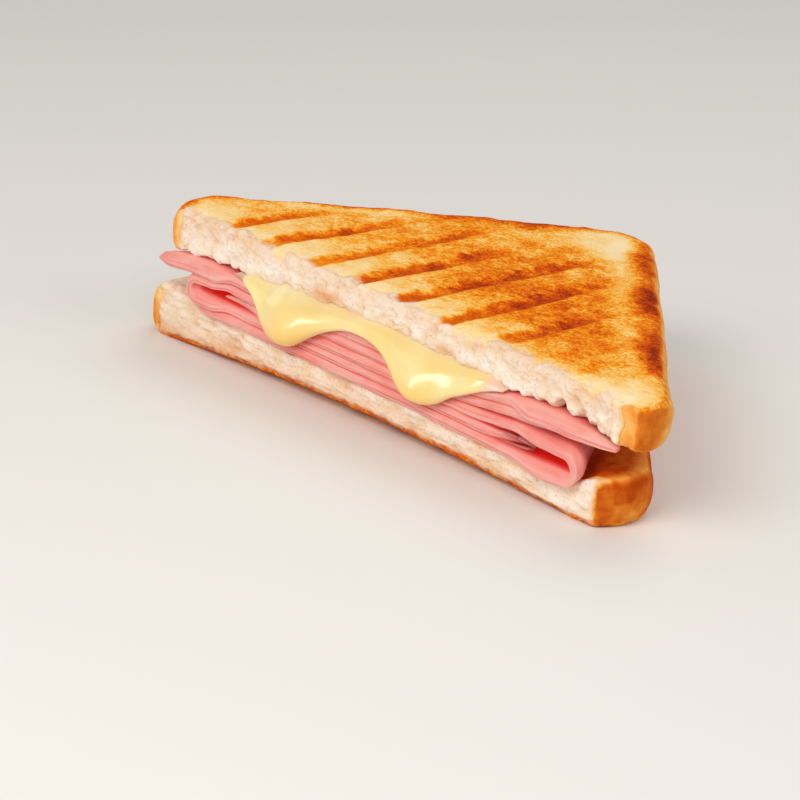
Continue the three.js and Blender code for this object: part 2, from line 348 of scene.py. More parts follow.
def slice_depths(x, cut):
    """Where a slice starts and ends at x: its cut face or the front of a rounded tip, and its crust."""
    corner_x, corner_depth = whole_corner(cut)
    along = np.abs(x - corner_x)
    side = np.sign(x - corner_x)
    tip_depth = np.where(side < 0, cut["left"], cut["right"])
    beyond = np.maximum(0, side * (x - cut["shift"]) - TIP_CENTRE)
    around = np.sqrt(np.maximum(0, TIP_RADIUS**2 - beyond**2))
    front = np.maximum(0, tip_depth - around)
    centre = corner_depth - CORNER_RADIUS * np.sqrt(2)
    at_corner = centre + np.sqrt(np.maximum(0, CORNER_RADIUS**2 - along**2))
    back = np.where(along < CORNER_RADIUS / np.sqrt(2), at_corner, corner_depth - along)
    back = np.where(beyond > TIP_RADIUS / np.sqrt(2), tip_depth + around, back)
    to_left_tip = TIP_CENTRE + TIP_RADIUS + corner_x - cut["shift"]
    bow = np.where(side < 0, SIDE_BOW * np.sin(np.pi * along / to_left_tip), 0)
    return front, back + bow + side_bulge(x, cut)


FAR = 99.0  # further than any place is from a front side


def front_distance(x, depth, cut):
    """Distance in from what is left of the crust's front sides at the two tips, seen from above."""
    distance = np.full(np.shape(x + depth), FAR)
    for side, tip_depth in ((-1, cut["left"]), (1, cut["right"])):
        beyond = side * (x - cut["shift"]) - TIP_CENTRE
        ahead = tip_depth - depth
        straight = TIP_RADIUS - (beyond + ahead) / np.sqrt(2)
        around = TIP_RADIUS - np.hypot(beyond, ahead)
        distance = np.where((ahead > 0) & (ahead >= beyond), np.minimum(distance, straight), distance)
        distance = np.where(beyond > np.abs(ahead), np.minimum(distance, around), distance)
    return distance


def crust_distance(x, depth, cut):
    """Distance in from the crust, seen from above: to the nearest straight side, or to a corner's round."""
    corner_x, corner_depth = whole_corner(cut)
    along = x - corner_x
    bow = np.where(along < 0, SIDE_BOW * np.sin(np.pi * np.clip(-along / BOW_SPAN, 0, 1)), 0)
    bow = bow + side_bulge(x, cut)
    distance = (corner_depth + bow - np.abs(along) - depth) / np.sqrt(2)
    centre = corner_depth - CORNER_RADIUS * np.sqrt(2)
    at_corner = CORNER_RADIUS - np.hypot(along, depth - centre)
    distance = np.where(depth - centre > np.abs(along), at_corner, distance)
    return np.minimum(distance, front_distance(x, depth, cut))


def left_to_right(pair, x):
    """A pair's first value at the left and its second at the right, eased over 40 mm in the middle."""
    return mix(pair[0], pair[1], smooth((x + 20) / 40))


def round_section(distance, reach):
    """Share of the full thickness at a distance in from the crust: a superellipse over the reach."""
    inwards = np.clip(distance / reach, 0, 1)
    return (1 - (1 - inwards) ** RIM_POWER) ** (1 / RIM_POWER)


def whole_ring(face, over, side, under):
    """The ring's four runs as one array."""
    runs = ((face, FACE), (over, OVER), (side, ROUND), (under, UNDER))
    return np.concatenate([np.broadcast_to(run, (COLUMNS, count)) for run, count in runs], 1)


def slice_ring(cut, top, bottom):
    """A half slice's grid of sections by ring points, with the values that it is made of.

    The ring runs up the cut face, back over the top, down the crust on a superellipse and back underneath.
    The columns are even along the cut and close up towards the tips. The crust's side has long low waves
    and ragged bumps, more of them at the left."""
    u = np.linspace(-1, 1, COLUMNS)[:, None]
    tip = TIP_CENTRE + TIP_RADIUS
    from_middle = (tip - TIP_SKIP) * mix(u, np.sin(u * np.pi / 2), TIP_CLOSING)
    x = cut["shift"] + from_middle
    front, crust = slice_depths(x, cut)
    ragged = mix(1, 0.35, smooth((x + 18) / 10))
    bumps = ragged * (0.55 * line_noise(x, 5.5, 3) + 0.3 * line_noise(x, 2.3, 4))
    back = crust + 0.5 * uneven(x / 9, cut["right"]) + bumps * smooth((crust - front - 6) / 20)
    reach = np.minimum(RIM_REACH * np.sqrt(2), 0.6 * (back - front))
    inner = back - reach
    rounding = np.minimum(EDGE_ROUNDING, (back - front) / 8)

    t = np.linspace(-1, 1, FACE)[None, :]
    face_share = mix(t, np.sin(t * np.pi / 2), 0.5)
    half = (top(x, front) - bottom(x, front)) / 2
    into = np.clip((np.abs(face_share) * half - half + rounding) / rounding, 0, 1)
    face_depth = front + rounding * (1 - np.sqrt(1 - into**2))
    t = np.linspace(0, 1, OVER + 2)[None, 1:-1] ** CLOSING
    over_depth = mix(front + rounding, inner, t)
    angle = np.linspace(np.pi / 2, -np.pi / 2, ROUND)[None, :]
    out = np.maximum(0, np.cos(angle)) ** (2 / RIM_POWER)
    round_share = np.sign(np.sin(angle)) * np.abs(np.sin(angle)) ** (2 / RIM_POWER)
    t = np.linspace(0, 1, UNDER + 2)[None, -2:0:-1] ** CLOSING
    under_depth = mix(front + rounding, inner, t)

    # held stops where the rounding starts, so that the round keeps the slice's height there.
    held = whole_ring(face_depth, over_depth, inner, under_depth)
    depth = whole_ring(face_depth, over_depth, inner + reach * out, under_depth)
    share = whole_ring(face_share, 1.0, round_share, -1.0)
    x = np.broadcast_to(x, depth.shape)
    high, low = top(x, held), bottom(x, held)
    tip_depth = np.where(from_middle < 0, cut["left"], cut["right"])

    def squeezed(reach_pair):
        """Share of the full thickness that is left near the tips' ends and their front sides."""
        tip_reach = left_to_right(reach_pair, x)
        at_end = round_section(tip - np.abs(from_middle), tip_reach)
        at_front = round_section(front_distance(x, held, cut), tip_reach)
        return np.where(held < tip_depth, np.maximum(LEAST_THICK, at_front), at_end)

    thick = np.where(share > 0, squeezed(cut["head_reach"]), squeezed(cut["foot_reach"]))
    z = (high + low) / 2 + thick * share * (high - low) / 2
    grid = np.stack([x, CUT_Y + depth, z], -1)
    return SimpleNamespace(
        grid=grid, x=x, depth=depth, share=share, thick=thick, front=front, inner=inner, half=half, out=out,
        face_share=face_share, round_share=round_share, over_depth=over_depth, under_depth=under_depth)


def slice_place(ring, cut, toasted, skin_thick, skin_edge):
    """What each point of a slice knows of its place.

    skin is the distance onto the toasted skin in mm, below zero on the open crumb. toasted is 1 where the
    top is the grilled side and -1 where the underside is. The skin that the grill left is skin_thick deep,
    and skin_edge is how sharply it ends. crust is 1 on baked crust, and rim is the distance in from it."""
    x = ring.x[:, :1]
    rim = crust_distance(ring.x, ring.depth, cut)
    # The crumb breaks past the grilled edge.
    broken = cut["torn"] * (line_noise(x, 7, 61) + 0.7 * line_noise(x, 2.3, 62))
    broken = broken + cut["bare"] * hump((x + 65) / 5)
    onto_face = skin_edge * (skin_thick - ring.half * (1 - toasted * ring.face_share)) - broken

    def flat_skin(depth, grilled):
        """The skin starts at the cut's edge on the grilled side, and at the crust's rim on the other."""
        if grilled:
            return skin_edge * skin_thick + depth - ring.front - broken
        return INNER_SKIN - ring.inner + depth

    over = flat_skin(ring.over_depth, toasted > 0)
    under = flat_skin(ring.under_depth, toasted < 0)
    down_side = INNER_SKIN + 6 * np.where(toasted * ring.round_share > 0, 1, ring.out)
    skin = whole_ring(onto_face, over, down_side, under)

    # The grill touched the flat side. Baked crust shows down the sides, and in from them on the other side.
    on_face = np.arange(skin.shape[1]) < FACE
    wander = 1.1 * billow(ring.grid, 3.2, 31) + 0.5 * billow(ring.grid, 1.1, 32)
    touched = smooth((toasted * ring.share * ring.thick + 0.06 * wander - 0.72) / 0.26)
    touched = touched * np.where(on_face, smooth((0.8 - rim) / 0.6), 1)
    inner_side = ~on_face & (toasted * ring.share < 0)
    width = left_to_right(cut["crust"], ring.x)
    width = np.where(inner_side, left_to_right(cut["inner_crust"], ring.x) + wander, width)
    baked = smooth((width + wander * smooth(rim) + 0.9 - rim) / 1.8)
    skin = np.maximum(skin + 5 * touched * smooth((3 - rim) / 2), mix(NO_SKIN, BAKED_SKIN, baked))
    crust = (1 - touched) * baked
    return {"x": ring.x, "depth": ring.depth, "share": ring.share, "skin": skin, "crust": crust, "rim": rim}


def crumb_share(place):
    """1 on the open crumb and 0 on toasted skin or crust, eased over a few millimetres."""
    return smooth((2.2 - place["skin"]) / 2.6) * (1 - place["crust"])


def pits(points, size, reach, edge, seed):
    """Round hollows, one to a cell of this size: 0 from reach outwards, and 1 an edge further in."""
    return smooth((reach - pores(points, size, seed)) / edge)


def bread_relief(grid, place, pore, seed):
    """Height of the surface along its normal, in mm. Crumb is rounded nubs and lumps less round pores at
    three sizes, and flatter away from the cut. Toast and crust are low bumps, the toast with a few pits.
    pore is how far the crumb is drawn out along x, y and z."""
    drawn = grid / np.array(pore)
    nubs = 0.85 * (0.6 - pores(drawn, 2.7, seed)) + 0.4 * (0.6 - pores(drawn, 1.25, seed + 20))
    lumps = 0.4 * billow(grid, (5, 4, 4), seed + 1) + 0.14 * billow(grid, 0.8, seed + 2)
    large = pits(drawn, 5.2, 0.4, 0.3, seed + 3) * smooth(2 * billow(grid, 9, seed + 4))
    middle = pits(drawn, 2.4, 0.42, 0.3, seed + 5) * smooth(1.5 * billow(grid, 6, seed + 12) + 0.3)
    small = pits(drawn, 1.1, 0.46, 0.35, seed + 6)
    hollow = 0.7 * large + 0.4 * middle + 0.16 * small
    behind = smooth((place["depth"] - 1.5) / 3)
    crumb = (nubs + lumps - hollow + 0.15) * mix(1, 0.35, behind)
    toast = 0.13 * billow(grid, 3.1, seed + 7) + 0.09 * billow(grid, 1.3, seed + 8)
    toast -= 0.16 * pits(grid, 1.7, 0.3, 0.2, seed + 9) * (billow(grid, 6, seed + 4) > 0)
    crust = 0.16 * billow(grid, (7, 7, 3), seed + 10) + 0.05 * billow(grid, 1.4, seed + 11)
    return mix(mix(toast, crust, place["crust"]), crumb, crumb_share(place))


# Soft oval patches of the grilled top: x, depth, half width along the cut, half width back, how far it is
# turned round, and how much browner the toast is there.
BY_LEFT_SIDE, BY_RIGHT_SIDE = np.pi / 4, -np.pi / 4
TOAST_PATCHES = [
    # Broad browning over the middle and the right, and smaller brown spots.
    (10, 34, 42, 24, 0, 0.16), (20, 30, 20, 18, 0, 0.1), (-22, 42, 26, 14, 0, 0.03), (43, 12, 16, 13, 0, 0.2),
    (0, 55, 9, 5, 0, 0.12), (51, 6.5, 6, 4, 0, 0.1), (38, 22, 4, 9, 0, 0.08), (-54, 18, 12, 14, 0, 0.06),
    # Pale spots between the bars and towards the whole corner.
    (22, 46, 5, 8, BY_RIGHT_SIDE, -0.12), (-20, 48, 5, 8, 0, -0.08), (-19, 17, 4, 9, 0, -0.08),
    (-49, 14, 5, 7, 0, -0.06), (-3, 68, 7, 7, 0, -0.2), (5, 64, 3, 7, BY_RIGHT_SIDE, -0.12),
    (7, 48, 9, 2.5, 0, -0.08), (-7, 20, 3, 6, 0, -0.1), (46.5, 18, 4, 4, 0, -0.1),
    # Scorches along the rims of the two sides.
    (9.5, 67.5, 9, 4, BY_RIGHT_SIDE, 0.32), (27.5, 49.5, 11, 3.6, BY_RIGHT_SIDE, 0.36),
    (51.5, 26.5, 11, 3.6, BY_RIGHT_SIDE, 0.34), (-57.5, 33, 8, 3.8, BY_LEFT_SIDE, 0.44),
    (-34, 52, 9, 3.8, BY_LEFT_SIDE, 0.28), (-20.5, 63.5, 11, 3.4, BY_LEFT_SIDE, 0.42)]


def toast_patch(x, depth, middle_x, middle_depth, wide, deep, turn):
    """A bell of the distance from the patch's middle, measured in its half widths, to the power of 1.5."""
    c, s = np.cos(turn), np.sin(turn)
    across, back = x - middle_x, depth - middle_depth
    return hump(np.hypot((c * across + s * back) / wide, (c * back - s * across) / deep) ** 1.5)


def top_heat(place):
    """How brown the upper slice is, from 0 to 1: the patches on a base that pales towards the cut, a
    browner rim with a paler band inside it, and the crust's bake. At the right that is darkest by the cut,
    and pales going back and in from the rim."""
    x, depth, rim = place["x"], place["depth"], place["rim"]
    right = smooth((x - whole_corner(UPPER)[0]) / 8 + 0.5)
    right_tip = smooth((x - 60) / 8)
    heat = 0.26 - 0.14 * smooth((24 - depth) / 22) - 0.08 * smooth((7 - depth) / 6)
    for *where, browner in TOAST_PATCHES:
        heat += browner * toast_patch(x, depth, *where)
    inner_band = hump((rim - mix(6.5, 8.6, right)) / mix(1.9, 3.0, right))
    heat -= mix(0.16, 0.15, right) * inner_band * smooth((depth - 16) / 12)
    worn_rim = rim + 0.8 * uneven(x / 1.9, depth / 2.1) * right
    heat += mix(0.34, 0.28, right) * hump((worn_rim / mix(4.2, 4.6, right)) ** 2) * mix(1, 0.4, right_tip)
    heat += right_tip * (0.26 * hump((rim - 0.9) / 0.9) - 0.08)
    heat += 0.2 * smooth((-69 - x) / 5)
    left_bake = 0.1 + 0.34 * smooth((2.2 - rim) / 2.2)
    right_cut = 0.2 + 0.16 * smooth((5.4 - rim) / 3)
    right_side = mix(0.54, 0.33, smooth((depth - 2) / 9))
    right_bake = mix(right_cut, right_side, smooth((1.2 - rim) / 0.8))
    return mix(heat, mix(left_bake, right_bake, right), place["crust"])


def under_heat(place):
    """How brown the lower slice is, from 0 to 1: its grilled underside, darker along the front edge and a
    little at the rim, and a crust that pales towards the crumb and towards the end of the right tip. On the
    right, the crust on the side facing the filling is browner back from the cut and in from the rim: partly
    baked crust and partly painted shade where the upper slice shades it."""
    x, rim = place["x"], place["rim"]
    behind = smooth(place["depth"] - 2)
    flat = 0.38 + 0.22 * smooth((3 - place["depth"]) / 3) + 0.04 * smooth((3 - rim) / 3)
    left_bake = 0.14 + 0.34 * smooth((2.4 - rim) / 2.4)
    # Partly painted shade: on the right the crust is browner back from the cut and in from the rim, where the
    # upper slice shades the lower one's top.
    right_bake = mix(0.14, 0.34, behind) + mix(0.56, 0.36, behind) * smooth((1.5 - rim) / 1.2)
    right_bake += 0.2 * smooth((rim - 2) / 3) * behind - 0.4 * smooth((x - 65) / 7)
    right_bake += 0.1 * place["share"] * behind
    return mix(flat, mix(left_bake, right_bake, smooth(x / 20)), place["crust"])


def crumb_warmth(place, toasted):
    """How warm the open crumb is: more towards the grilled side, except at the lower slice's right tip. In
    the upper slice it is warm just above the cheese too, which has left two stains there."""
    x, share = place["x"], place["share"]
    near = smooth((toasted * share + 0.5) / 1.6)
    if toasted > 0:
        stain_left = hump((x + 19) / 6) * hump((share + 0.45) / 0.45)
        stain_right = 0.7 * hump((x - 19) / 3) * hump((share + 0.6) / 0.35)
        over_cheese = 0.3 * smooth((-share - 0.35) / 0.5) * smooth((x + 50) / 8) * smooth((38 - x) / 8)
        return 0.36 * near + stain_left + stain_right + over_cheese
    scorched = 0.45 * smooth((-share - 0.45) / 0.5)
    return (0.16 + 0.55 * near + scorched) * mix(1, 0.15, smooth((x - 42) / 14))


# Deeper notches in the upper slice's lower front edge: x, half width and height.
NOTCHES = [(52.5, 1.3, 2.0), (58.8, 1.3, 1.5), (61.8, 1.1, 1.4)]


def tears(x, depth):
    """How far the upper slice's lower front edge is torn up: ragged, with the notches as bells."""
    ragged = 0.7 * np.maximum(0, line_noise(x, 3.4, 21)) + 0.5 * np.maximum(0, line_noise(x, 1.2, 22))
    notches = sum(height * hump((x - middle) / wide) for middle, wide, height in NOTCHES)
    return ragged * hump(depth / 2.5) + notches * hump(depth / 5)


def toasted_top_z(x, depth):
    """The grilled top: a sloping plane with long low waves, curled up near the left tip, less the bars'
    grooves and a worn front edge."""
    curl = 0.6 * hump((x + 50) / 20) * smooth((7 - crust_distance(x, depth, UPPER)) / 6)
    flat = curl + TOP_MIDDLE - TOP_FALL * x + TOP_RISE * depth + 0.35 * uneven(x / 13, depth / 11)
    worn_edge = (0.5 + 0.35 * line_noise(x, 4.2, 23) + 0.25 * line_noise(x, 1.5, 24)) * hump(depth / 2)
    worn_edge += 0.6 * hump((x + 64) / 5) * hump(depth / 4)
    return flat - groove(x, depth) - worn_edge


def torn_ceiling_z(x, depth):
    """The upper slice's underside with its tears, a little lower at the left tip."""
    return ceiling_z(x, depth) + tears(x, depth) - 0.8 * smooth((-62 - x) / 10)


END_COLUMNS = 14


def bread_slice(node, cut, top, bottom, toasted, skin, heat, pore, seed, material):
    """A half slice pushed out along its normals by its relief, which fades over the end columns, and never
    below the floor."""
    ring = slice_ring(cut, top, bottom)
    place = slice_place(ring, cut, toasted, *skin)
    relief = bread_relief(ring.grid, place, pore, seed)
    column = np.arange(COLUMNS)
    from_end = smooth(np.minimum(column, column[::-1]) / END_COLUMNS)[:, None]
    grid = ring.grid + grid_normals(ring.grid) * (relief * from_end)[..., None]
    grid[..., 2] = np.maximum(grid[..., 2], 0)
    _, strength = bar_place(place["x"], place["depth"])
    browned = mix(heat(place), crumb_warmth(place, toasted), crumb_share(place))
    values = {"skin": place["skin"], "crust": place["crust"], "browned": browned, "bars": strength,
              "raised": relief}
    lofted(node, grid, material, values)


# ---- Ham ----
LEG_STEPS, TURN_STEPS = 300, 34  # points along a fold's leg, and round its turn
FLAT_START, FLAT_END, FLAT_STEPS = -76, 69, 560


def layer_z(x, below):
    """Height of the middle of the ham layer that has this many layers below it."""
    return floor_at_cut(x) + GAP + (below + 0.5) * HAM_PITCH


# Centre lines at the cut. A fold has two legs, the x where it turns, and the x where each leg ends.
flat_ham_z = through([[-76, 19.7], [-70, 20.6], [-58, 21.1], [-48, 20.3], [-34, layer_z(-34, 4)],
                      [0, layer_z(0, 4)], [24, layer_z(24, 4)], [40, 19.4], [52, 19.8], [57, 19.5],
                      [63, 18.7], [69, 17.9]])
LEFT_FOLD = {
    "side": -1, "fold_x": -61.4, "upper_end": 58, "lower_end": 46,
    "upper": through([[-62, 18.8], [-54, 18.7], [-46, 17.7], [-34, layer_z(-34, 3)], [0, layer_z(0, 3)],
                      [24, layer_z(24, 3)], [40, 17.1], [51, 17.6], [58, 18.1]]),
    "lower": lambda x: mix(layer_z(x, 1), 10.4, smooth((x - 28) / 18)),
}
RIGHT_FOLD = {
    "side": 1, "fold_x": 56.4, "upper_end": -53, "lower_end": -61,
    "upper": lambda x: mix(layer_z(x, 2), 14.2, smooth((x - 22) / 22)),
    "lower": lambda x: mix(layer_z(x, 0), 8.3, smooth((x - 44) / 10)),
}


def folded_line(fold):
    """Centre line of a folded slice: the upper leg out, half an ellipse, and the lower leg back."""
    upper_x = np.linspace(fold["upper_end"], fold["fold_x"], LEG_STEPS)
    lower_x = np.linspace(fold["fold_x"], fold["lower_end"], LEG_STEPS)
    high, low = fold["upper"](fold["fold_x"]), fold["lower"](fold["fold_x"])
    angle = np.linspace(np.pi / 2, -np.pi / 2, TURN_STEPS + 1)[1:-1]
    turn_x = fold["fold_x"] + fold["side"] * (high - low) / 2 * np.cos(angle)
    turn_z = (high + low) / 2 + (high - low) / 2 * np.sin(angle)
    x = np.concatenate([upper_x, turn_x, lower_x])
    z = np.concatenate([fold["upper"](upper_x), turn_z, fold["lower"](lower_x)])
    return x, z


def ham_slice(node, x, z, proud, tapers, inner_face, material, seed):
    """A thin slice whose centre line at the cut is (x, z). Its round nose stands proud of the cut and
    droops, its two faces run back between the breads, and the line's two ends thin out over the tapers'
    lengths. inner_face tells which face lies inside the fold: 1 or -1 by the fold's mouth, and 0 where
    there is none."""
    tangent = np.stack([np.gradient(x), np.gradient(z)], -1)
    tangent /= np.linalg.norm(tangent, axis=-1, keepdims=True)
    travelled = np.concatenate([[0], np.cumsum(np.hypot(np.diff(x), np.diff(z)))])
    from_end = np.minimum(travelled / tapers[0], (travelled[-1] - travelled) / tapers[1])
    ends = np.sqrt(1 - (1 - np.clip(from_end, 0, 1)) ** 2)
    half = HAM_THICK / 2 * (0.97 + 0.07 * line_noise(travelled, 7, seed)) * mix(0.12, 1, ends)
    uneven_edge = 0.2 * line_noise(travelled, 26, seed + 1) + 0.06 * line_noise(travelled, 4, seed + 2)
    proud = proud + uneven_edge * smooth(proud / 1.5)

    # The ring goes round the nose's upper half and back along the upper face, then the same in turn below.
    nose = np.linspace(0.06, np.pi / 2, 14)
    runs = np.array([0.5, 1.6, 3.5, 6.5, 11, 18, 28, 40, 53, HAM_END_DEPTH - 0.6])
    offset = np.concatenate([np.sin(nose), np.ones(len(runs) + 1), [0.5]])
    offset = np.concatenate([offset, -offset[::-1]])[None, :]
    nose_depth = -proud[:, None] + HAM_BLUNT * half[:, None] * (1 - np.cos(nose))[None, :]
    halfway = (nose_depth[:, -1:] + 0.5) / 2
    run_depth = np.broadcast_to(runs, (len(x), len(runs)))
    end_depth = np.full((len(x), 1), HAM_END_DEPTH)
    depth = np.concatenate([nose_depth, halfway, run_depth, end_depth], 1)
    depth = np.concatenate([depth, depth[:, ::-1]], 1)
    across = offset * half[:, None]
    grid = filling_point(x[:, None] - tangent[:, 1:] * across, z[:, None] + tangent[:, :1] * across, depth)
    grid[..., 2] -= HAM_DROOP * np.maximum(0, -depth) ** 2

    # Fibres, far longer along the cut edge than across it, and a crease that wanders along the nose.
    along = np.broadcast_to(travelled[:, None], depth.shape)
    fibre_place = np.stack([along, depth, across], -1)
    fibres = 0.07 * billow(fibre_place, (11, 1.2, 0.5), seed + 3)
    fibres += 0.03 * billow(fibre_place, (3, 0.8, 0.28), seed + 4)
    wander = 0.55 * line_noise(travelled, 42, seed + 5)[:, None]
    opened = smooth(0.5 + line_noise(travelled, 17, seed + 6))[:, None]
    crease = hump((across - wander) / 0.15) * opened * smooth((0.4 - depth) / 0.6)
    lift = (fibres - 0.16 * crease) * smooth(from_end)[:, None]
    grid = grid + grid_normals(grid) * lift[..., None]
    # mouth marks the face inside a fold's mouth, where the ham's painted shade and painted glow are deepest.
    mouth = smooth(2 * inner_face * offset) * smooth((depth + 1) / 3) * smooth((16 - depth) / 12)
    lofted(node, grid, material, {
        "along": along, "across": across, "inward": np.clip(depth, -3, 40), "crease": crease, "mouth": mouth})


def ham_slices(material):
    """The flat slice and the two folded ones. They stand further out where no cheese hangs over them, and
    less so at their ends."""
    x = np.linspace(FLAT_START, FLAT_END, FLAT_STEPS)
    clear = smooth((-49 - x) / 6) + smooth((x - 39) / 8)
    clear = clear * smooth((x + 79) / 9) * smooth((74 - x) / 9)
    proud = HAM_PROUD + 1.5 * clear - 1.2 * smooth((x - 56) / 12)
    ham_slice("ham_flat", x, flat_ham_z(x), proud, (5, 18), 0, material, 100)
    x, z = folded_line(LEFT_FOLD)
    inner_end = smooth((x - 30) / 16) * (z < 13)
    proud = HAM_PROUD + 1.3 * smooth((-50 - x) / 6) + 0.3 * smooth((x - 38) / 8) - 4 * inner_end
    ham_slice("ham_fold_left", x, z, proud, (24, 14), smooth((-43 - x) / 13)[:, None], material, 110)
    x, z = folded_line(RIGHT_FOLD)
    inner_end = smooth((-36 - x) / 14) * (z > 13.8)
    proud = HAM_PROUD + 1.2 * smooth((x - 40) / 10) + 0.4 * smooth((-46 - x) / 8) - 1.4 * inner_end
    ham_slice("ham_fold_right", x, z, proud, (20, 3), -1, material, 120)


# ---- Cheese ----
# The hanging lip's height along the cut, as [x, z]: two drips with a curtain between them.
CHEESE_LIP = [
    [-48.6, 22.4], [-47, 22.1], [-45.3, 21.6], [-42.5, 20.6], [-40.2, 18.9], [-38.2, 16.4], [-36.4, 13.9],
    [-34.2, 12.3], [-31, 11.5], [-28, 11.6], [-25.5, 12.4], [-23.2, 13.8], [-19.5, 16.2], [-15.3, 18.3],
    [-10, 19.9], [-4.3, 20.3], [0, 19.6], [3.7, 18.2], [6.7, 15.9], [9.4, 13.3], [12, 11.9], [15, 11.5],
    [18, 12], [20.7, 13.2], [23.7, 15.2], [27.7, 17], [31.7, 18.8], [35.7, 20.2], [38, 20.7]]
CHEESE_START, CHEESE_END = CHEESE_LIP[0][0], CHEESE_LIP[-1][0]
CHEESE_COLUMNS, FRONT_POINTS = 440, 56
cheese_lip = through(CHEESE_LIP)


def cheese_bulge(x):
    """How far the hanging cheese swells out of the cut: a bell for the heavy bead in each drip, on a
    curtain that is thinnest between them and fades at both ends."""
    body = 1.4 + 2.7 * hump((x + 28.3) / 8.6) + 2.4 * hump((x - 13) / 8.6) - 0.4 * hump((x + 11.5) / 4.5)
    return mix(0.3, body, smooth((x - CHEESE_START) / 7) * smooth((CHEESE_END - x) / 10))


def cheese_front(x, t, high, ham_front):
    """The hanging front, t running from the bread's edge at 0 down to the lip at 1: how far out and how
    high. It swells to a bead, a power of half a sine wave that is lower in the right drip, and rounds under
    at the lip. A shallow crease runs down where each drip starts."""
    bead = np.sin(np.pi * 0.95 * t ** mix(1.3, 1.65, smooth((x + 14) / 14))) ** 0.55
    crease = 0.5 * hump((x + 36.3) / 2.6) * smooth((t - 0.02) / 0.2) * smooth((0.62 - t) / 0.35)
    crease += 0.35 * hump((x - 4.6) / 2.4) * smooth((t - 0.02) / 0.2) * smooth((0.7 - t) / 0.4)
    wave = 0.05 * line_noise(x, 8, 41) * np.sin(np.pi * t)
    out = np.maximum(cheese_bulge(x) * bead - crease + wave, 0)
    emerged = mix(0.1, 1, smooth((x - CHEESE_START) / 5))
    behind = mix(CHEESE_TUCK + 1.5 * (1 - emerged), ham_front * emerged, smooth(t / 0.3))
    spilt = CHEESE_SPILL + 0.5 * line_noise(x, 5, 42)
    spilt = spilt * smooth((x - CHEESE_START) / 5) * smooth((CHEESE_END - x) / 6)
    z = mix(high + GAP + spilt, cheese_lip(x), 1 - (1 - t) ** 1.4)
    return behind - out * emerged, z


def melted_cheese(node, material):
    """A sheet between ham and bread that hangs over the ham's edges: its ring runs forward over the top,
    down the front, up the back of the hanging part and back underneath."""
    x = np.linspace(CHEESE_START, CHEESE_END, CHEESE_COLUMNS)[:, None]
    ham_front = -HAM_PROUD - GAP
    high = ceiling_at_cut(x) - GAP
    low = np.minimum(flat_ham_z(x) + HAM_THICK / 2 + GAP, high - 0.6)
    t = np.linspace(0, 1, FRONT_POINTS)[None, :]
    front_y, front_z = cheese_front(x, t, high, ham_front)
    inwards = np.array([0.2, 1.5, 5, 12, 24, 40, CHEESE_END_DEPTH])[None, :]
    up_back = mix(0.35, 1, np.array([[0, 0.35, 0.7, 1]]))
    rear_z = mix(cheese_lip(x), np.maximum(low, cheese_lip(x) + 0.1), up_back)
    grid = np.concatenate([
        filling_point(x, high, inwards[:, ::-1]),
        np.stack(np.broadcast_arrays(x, CUT_Y + front_y, front_z), -1),
        np.stack(np.broadcast_arrays(x, CUT_Y + ham_front, rear_z), -1),
        filling_point(x, low, inwards)], 1)
    run = np.zeros(inwards.size)
    fall = np.concatenate([run, t[0], np.ones(rear_z.shape[1]), run])
    lofted(node, grid, material, {"fall": fall, "thick": cheese_bulge(x)})


# ---- Materials ----
def srgb(red, green, blue):
    """A colour given as screen values from 0 to 255, as the linear numbers that the shaders take."""
    c = np.array([red, green, blue]) / 255
    linear = np.where(c <= 0.04045, c / 12.92, ((c + 0.055) / 1.055) ** 2.4)
    return (*linear, 1.0)


